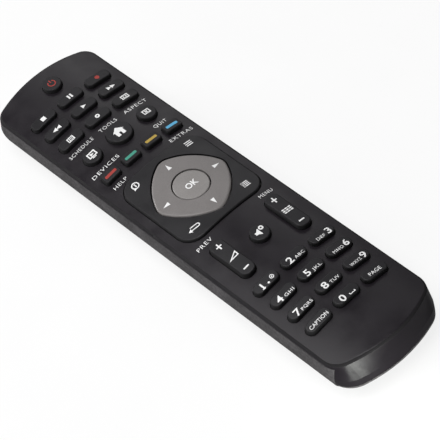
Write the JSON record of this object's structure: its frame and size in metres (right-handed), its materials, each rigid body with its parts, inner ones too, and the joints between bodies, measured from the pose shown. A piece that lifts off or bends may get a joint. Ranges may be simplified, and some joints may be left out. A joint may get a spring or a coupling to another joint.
{
  "type": "television remote control",
  "caption": "Slim handheld infrared remote control with a crowned key face, a tilting navigation pad, rocker keys and a sliding battery door.",
  "frame": {"origin": "bottom centre of the bounding box, on the surface that the flat belly rests on", "axes": "+Y along the body to the infrared end, +Z out of the key face, +X to the right seen from above with the infrared end up"},
  "size_m": [0.048, 0.1964, 0.0223],
  "materials": {
    "cover": "satin black moulded plastic",
    "shell": "fine spark texture",
    "key": "soft satin",
    "ring": "satin warm grey",
    "disc": "satin warm grey",
    "window": "polished, passes infrared",
    "diode": "clear epoxy",
    "board": "solder-masked laminate",
    "rubber": "moulded silicone",
    "component": "moulded epoxy",
    "contact": "plated spring steel",
    "cell": "printed sleeve",
    "legend": "white print",
    "legend_red": "red print",
    "legend_green": "green print",
    "legend_yellow": "yellow print",
    "legend_blue": "blue print"
  },
  "bodies": {
    "root": {"battery_a": "cell", "battery_b": "cell", "bridge_contact": "contact", "capacitor": "component", "circuit_board": "board", "control_chip": "component", "front_shell": "cover", "ir_led": "diode", "ir_window": "window", "negative_contact": "contact", "positive_contact": "contact", "rear_shell": "shell", "resistor_set": "component", "resonator": "contact", "rubber_keymat": "rubber", "transistor": "component"},
    "aspect_key": {"aspect_key": "key"},
    "battery_door": {"battery_door": "shell"},
    "blue_key": {"blue_key": "key"},
    "caption_key": {"caption_key": "key"},
    "channel_rocker": {"channel_rocker": "key"},
    "corner_key_frame": {"corner_key_frame": "key"},
    "corner_seat": {"corner_seat": "rubber"},
    "digit_0_key": {"digit_0_key": "key"},
    "digit_1_key": {"digit_1_key": "key"},
    "digit_2_key": {"digit_2_key": "key"},
    "digit_3_key": {"digit_3_key": "key"},
    "digit_4_key": {"digit_4_key": "key"},
    "digit_5_key": {"digit_5_key": "key"},
    "digit_6_key": {"digit_6_key": "key"},
    "digit_7_key": {"digit_7_key": "key"},
    "digit_8_key": {"digit_8_key": "key"},
    "digit_9_key": {"digit_9_key": "key"},
    "exit_key": {"exit_key": "key"},
    "forward_key": {"forward_key": "key"},
    "green_key": {"green_key": "key"},
    "guide_key": {"guide_key": "key"},
    "home_key": {"home_key": "key"},
    "mute_key": {"mute_key": "key"},
    "nav_ring": {"nav_ring": "ring"},
    "nav_seat": {"nav_seat": "rubber"},
    "ok_key": {"ok_key": "disc"},
    "page_key": {"page_key": "key"},
    "pause_key": {"pause_key": "key"},
    "play_key": {"play_key": "key"},
    "power_key": {"power_key": "key"},
    "record_key": {"record_key": "key"},
    "red_key": {"red_key": "key"},
    "rewind_key": {"rewind_key": "key"},
    "setup_key": {"setup_key": "key"},
    "source_key": {"source_key": "key"},
    "stop_key": {"stop_key": "key"},
    "volume_rocker": {"volume_rocker": "key"},
    "yellow_key": {"yellow_key": "key"}
  },
  "joints": [
    {"name": "battery_door_slide", "type": "slide", "parent": "root", "child": "battery_door", "axis": [0, -1, 0], "range_m": [0, 0.07]},
    {"name": "volume_rocker_rock", "type": "hinge", "parent": "root", "child": "volume_rocker", "pos_m": [-0.0138, -0.0296, 0.01605], "axis": [1, 0, 0], "range_deg": [-3, 3], "stiffness_Nm_per_rad": 0.2},
    {"name": "channel_rocker_rock", "type": "hinge", "parent": "root", "child": "channel_rocker", "pos_m": [0.0138, -0.0296, 0.01605], "axis": [1, 0, 0], "range_deg": [-3, 3], "stiffness_Nm_per_rad": 0.2},
    {"name": "nav_tilt_up_down", "type": "hinge", "parent": "root", "child": "nav_seat", "pos_m": [0, 0.0066, 0.0161], "axis": [1, 0, 0], "range_deg": [-3, 3], "stiffness_Nm_per_rad": 0.3},
    {"name": "nav_tilt_left_right", "type": "hinge", "parent": "nav_seat", "child": "nav_ring", "pos_m": [0, 0.0066, 0.0161], "axis": [0, 1, 0], "range_deg": [-3, 3], "stiffness_Nm_per_rad": 0.3},
    {"name": "corner_tilt_rising", "type": "hinge", "parent": "root", "child": "corner_seat", "pos_m": [0, 0.0066, 0.0158], "axis": [0.7071, -0.7071, 0], "range_deg": [-2, 2], "stiffness_Nm_per_rad": 0.3},
    {"name": "corner_tilt_falling", "type": "hinge", "parent": "corner_seat", "child": "corner_key_frame", "pos_m": [0, 0.0066, 0.0158], "axis": [0.7071, 0.7071, 0], "range_deg": [-2, 2], "stiffness_Nm_per_rad": 0.3},
    {"name": "ok_key_press", "type": "slide", "parent": "root", "child": "ok_key", "axis": [0, 0, -1], "range_m": [0, 0.0008], "stiffness_N_per_m": 1500, "springref_m": -0.0003},
    {"name": "power_key_press", "type": "slide", "parent": "root", "child": "power_key", "axis": [0, 0, -1], "range_m": [0, 0.0008], "stiffness_N_per_m": 1500, "springref_m": -0.0003},
    {"name": "stop_key_press", "type": "slide", "parent": "root", "child": "stop_key", "axis": [0, 0, -1], "range_m": [0, 0.0008], "stiffness_N_per_m": 1500, "springref_m": -0.0003},
    {"name": "pause_key_press", "type": "slide", "parent": "root", "child": "pause_key", "axis": [0, 0, -1], "range_m": [0, 0.0008], "stiffness_N_per_m": 1500, "springref_m": -0.0003},
    {"name": "record_key_press", "type": "slide", "parent": "root", "child": "record_key", "axis": [0, 0, -1], "range_m": [0, 0.0008], "stiffness_N_per_m": 1500, "springref_m": -0.0003},
    {"name": "rewind_key_press", "type": "slide", "parent": "root", "child": "rewind_key", "axis": [0, 0, -1], "range_m": [0, 0.0008], "stiffness_N_per_m": 1500, "springref_m": -0.0003},
    {"name": "play_key_press", "type": "slide", "parent": "root", "child": "play_key", "axis": [0, 0, -1], "range_m": [0, 0.0008], "stiffness_N_per_m": 1500, "springref_m": -0.0003},
    {"name": "forward_key_press", "type": "slide", "parent": "root", "child": "forward_key", "axis": [0, 0, -1], "range_m": [0, 0.0008], "stiffness_N_per_m": 1500, "springref_m": -0.0003},
    {"name": "guide_key_press", "type": "slide", "parent": "root", "child": "guide_key", "axis": [0, 0, -1], "range_m": [0, 0.0008], "stiffness_N_per_m": 1500, "springref_m": -0.0003},
    {"name": "setup_key_press", "type": "slide", "parent": "root", "child": "setup_key", "axis": [0, 0, -1], "range_m": [0, 0.0008], "stiffness_N_per_m": 1500, "springref_m": -0.0003},
    {"name": "aspect_key_press", "type": "slide", "parent": "root", "child": "aspect_key", "axis": [0, 0, -1], "range_m": [0, 0.0008], "stiffness_N_per_m": 1500, "springref_m": -0.0003},
    {"name": "source_key_press", "type": "slide", "parent": "root", "child": "source_key", "axis": [0, 0, -1], "range_m": [0, 0.0008], "stiffness_N_per_m": 1500, "springref_m": -0.0003},
    {"name": "home_key_press", "type": "slide", "parent": "root", "child": "home_key", "axis": [0, 0, -1], "range_m": [0, 0.0008], "stiffness_N_per_m": 1500, "springref_m": -0.0003},
    {"name": "exit_key_press", "type": "slide", "parent": "root", "child": "exit_key", "axis": [0, 0, -1], "range_m": [0, 0.0008], "stiffness_N_per_m": 1500, "springref_m": -0.0003},
    {"name": "red_key_press", "type": "slide", "parent": "root", "child": "red_key", "axis": [0, 0, -1], "range_m": [0, 0.0008], "stiffness_N_per_m": 1500, "springref_m": -0.0003},
    {"name": "green_key_press", "type": "slide", "parent": "root", "child": "green_key", "axis": [0, 0, -1], "range_m": [0, 0.0008], "stiffness_N_per_m": 1500, "springref_m": -0.0003},
    {"name": "yellow_key_press", "type": "slide", "parent": "root", "child": "yellow_key", "axis": [0, 0, -1], "range_m": [0, 0.0008], "stiffness_N_per_m": 1500, "springref_m": -0.0003},
    {"name": "blue_key_press", "type": "slide", "parent": "root", "child": "blue_key", "axis": [0, 0, -1], "range_m": [0, 0.0008], "stiffness_N_per_m": 1500, "springref_m": -0.0003},
    {"name": "mute_key_press", "type": "slide", "parent": "root", "child": "mute_key", "axis": [0, 0, -1], "range_m": [0, 0.0008], "stiffness_N_per_m": 1500, "springref_m": -0.0003},
    {"name": "caption_key_press", "type": "slide", "parent": "root", "child": "caption_key", "axis": [0, 0, -1], "range_m": [0, 0.0008], "stiffness_N_per_m": 1500, "springref_m": -0.0003},
    {"name": "page_key_press", "type": "slide", "parent": "root", "child": "page_key", "axis": [0, 0, -1], "range_m": [0, 0.0008], "stiffness_N_per_m": 1500, "springref_m": -0.0003},
    {"name": "digit_0_key_press", "type": "slide", "parent": "root", "child": "digit_0_key", "axis": [0, 0, -1], "range_m": [0, 0.0008], "stiffness_N_per_m": 1500, "springref_m": -0.0003},
    {"name": "digit_1_key_press", "type": "slide", "parent": "root", "child": "digit_1_key", "axis": [0, 0, -1], "range_m": [0, 0.0008], "stiffness_N_per_m": 1500, "springref_m": -0.0003},
    {"name": "digit_2_key_press", "type": "slide", "parent": "root", "child": "digit_2_key", "axis": [0, 0, -1], "range_m": [0, 0.0008], "stiffness_N_per_m": 1500, "springref_m": -0.0003},
    {"name": "digit_3_key_press", "type": "slide", "parent": "root", "child": "digit_3_key", "axis": [0, 0, -1], "range_m": [0, 0.0008], "stiffness_N_per_m": 1500, "springref_m": -0.0003},
    {"name": "digit_4_key_press", "type": "slide", "parent": "root", "child": "digit_4_key", "axis": [0, 0, -1], "range_m": [0, 0.0008], "stiffness_N_per_m": 1500, "springref_m": -0.0003},
    {"name": "digit_5_key_press", "type": "slide", "parent": "root", "child": "digit_5_key", "axis": [0, 0, -1], "range_m": [0, 0.0008], "stiffness_N_per_m": 1500, "springref_m": -0.0003},
    {"name": "digit_6_key_press", "type": "slide", "parent": "root", "child": "digit_6_key", "axis": [0, 0, -1], "range_m": [0, 0.0008], "stiffness_N_per_m": 1500, "springref_m": -0.0003},
    {"name": "digit_7_key_press", "type": "slide", "parent": "root", "child": "digit_7_key", "axis": [0, 0, -1], "range_m": [0, 0.0008], "stiffness_N_per_m": 1500, "springref_m": -0.0003},
    {"name": "digit_8_key_press", "type": "slide", "parent": "root", "child": "digit_8_key", "axis": [0, 0, -1], "range_m": [0, 0.0008], "stiffness_N_per_m": 1500, "springref_m": -0.0003},
    {"name": "digit_9_key_press", "type": "slide", "parent": "root", "child": "digit_9_key", "axis": [0, 0, -1], "range_m": [0, 0.0008], "stiffness_N_per_m": 1500, "springref_m": -0.0003}
  ]
}
